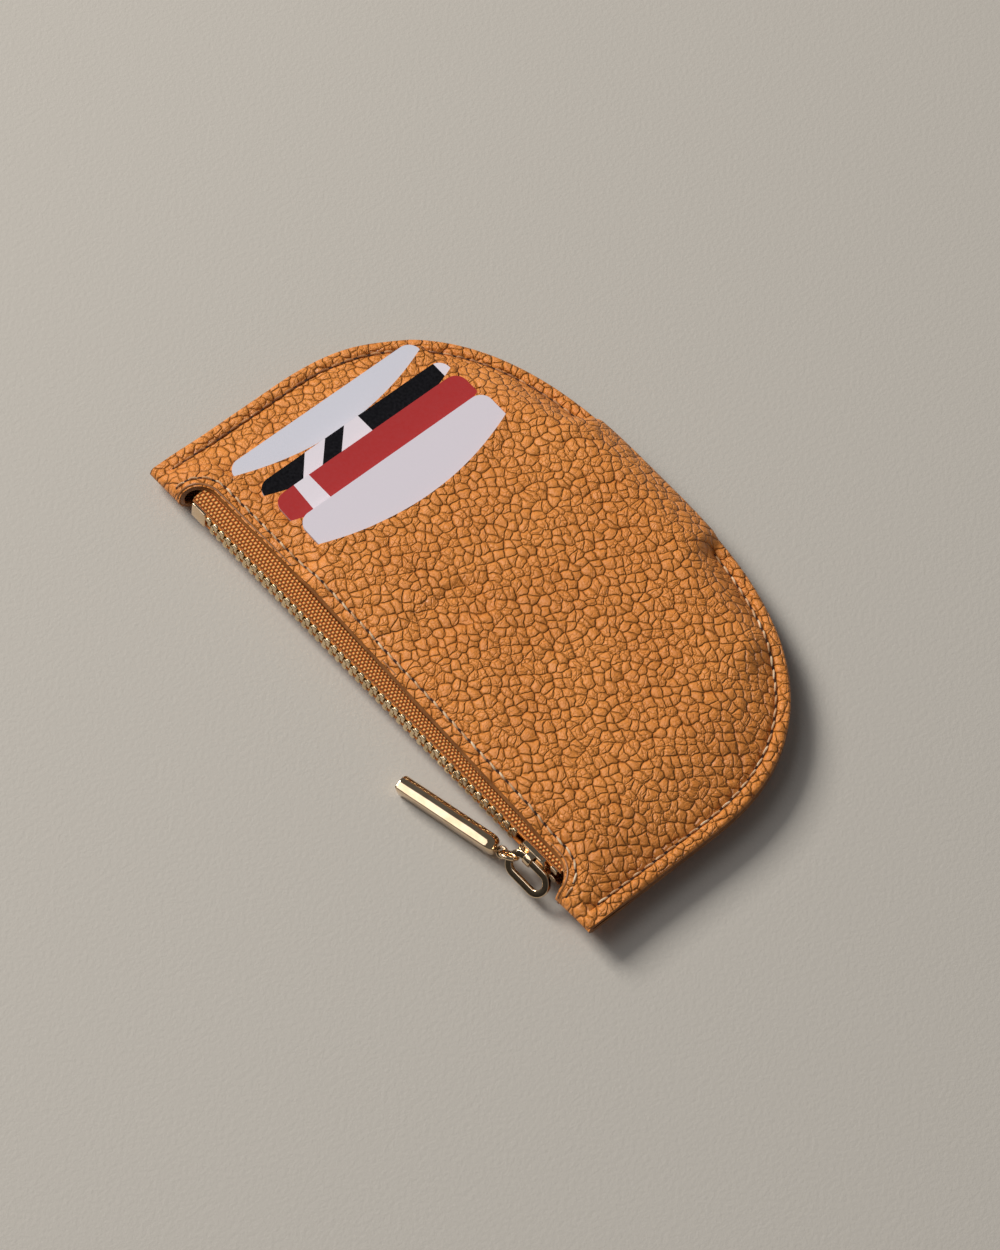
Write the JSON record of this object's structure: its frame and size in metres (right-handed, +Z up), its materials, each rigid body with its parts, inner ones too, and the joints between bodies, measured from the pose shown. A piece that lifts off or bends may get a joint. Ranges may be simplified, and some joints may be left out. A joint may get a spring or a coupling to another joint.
{
  "type": "zippered card pouch",
  "caption": "Half-moon leather pouch with a metal zip along its folded straight edge, curved card slits on the front and a slip pocket mouth on the curved edge.",
  "frame": {"origin": "middle of the flat patch of the back leaf that the pouch rests on", "axes": "+X along the zip towards its closed end, +Y from the zip towards the curved edge, +Z up, out of the card slits' face"},
  "size_m": [0.152, 0.0945, 0.014],
  "materials": {
    "leather": "pebbled, satin",
    "lining": "plain woven",
    "thread": "waxed thread",
    "zip_tape": "woven tape",
    "gold_metal": "polished, pale gold",
    "card_blue_grey": "satin",
    "card_black": "satin, two pale bands",
    "card_red": "satin, one pale band",
    "card_white": "satin"
  },
  "bodies": {
    "pouch": {"outer_leather": "leather", "slip_pocket_divider": "leather", "compartment_front_lining": "lining", "compartment_back_lining": "lining", "card_pocket_lining_1": "lining", "card_pocket_lining_2": "lining", "card_pocket_lining_3": "lining", "card_pocket_lining_4": "lining", "zip_teeth_front_row": "gold_metal", "zip_teeth_back_row": "gold_metal", "zip_tape_front": "zip_tape", "zip_tape_back": "zip_tape", "zip_bottom_stop": "gold_metal", "zip_top_stop_front": "gold_metal", "zip_top_stop_back": "gold_metal", "rim_stitching_left": "thread", "rim_stitching_right": "thread", "window_stitching_front": "thread", "window_stitching_back": "thread"},
    "slider": {"slider_front_plate": "gold_metal", "slider_back_plate": "gold_metal"},
    "link_ring": {"pull_link_ring": "gold_metal"},
    "loop": {"pull_loop": "gold_metal"},
    "bar": {"pull_bar": "gold_metal"},
    "card_body_1": {"card_1": "card_blue_grey"},
    "card_body_2": {"card_2": "card_black"},
    "card_body_3": {"card_3": "card_red"},
    "card_body_4": {"card_4": "card_white"}
  },
  "joints": [
    {"name": "slider_travel", "type": "slide", "parent": "pouch", "child": "slider", "axis": [-0.9995, -0.0314, 0], "range_m": [0, 0.1045]},
    {"name": "link_swing", "type": "hinge", "parent": "slider", "child": "link_ring", "pos_m": [0.05495, -0.04257, 0.00697], "axis": [-0.9995, -0.0314, 0], "range_deg": [0, 90]},
    {"name": "loop_swing", "type": "hinge", "parent": "link_ring", "child": "loop", "pos_m": [0.05126, -0.0444, 0.00522], "axis": [-0.022, 0.6997, 0.7141], "range_deg": [0, 75]},
    {"name": "bar_swing", "type": "hinge", "parent": "loop", "child": "bar", "pos_m": [0.04894, -0.04503, 0.00455], "axis": [0, 0.7141, -0.7001], "range_deg": [0, 12]},
    {"name": "card_1_slide", "type": "slide", "parent": "pouch", "child": "card_body_1", "axis": [-1, 0, 0], "range_m": [0, 0.075]},
    {"name": "card_2_slide", "type": "slide", "parent": "pouch", "child": "card_body_2", "axis": [-1, 0, 0.005], "range_m": [0, 0.075]},
    {"name": "card_3_slide", "type": "slide", "parent": "pouch", "child": "card_body_3", "axis": [-0.9999, 0, 0.0104], "range_m": [0, 0.075]},
    {"name": "card_4_slide", "type": "slide", "parent": "pouch", "child": "card_body_4", "axis": [-0.9999, 0, 0.0158], "range_m": [0, 0.075]}
  ]
}
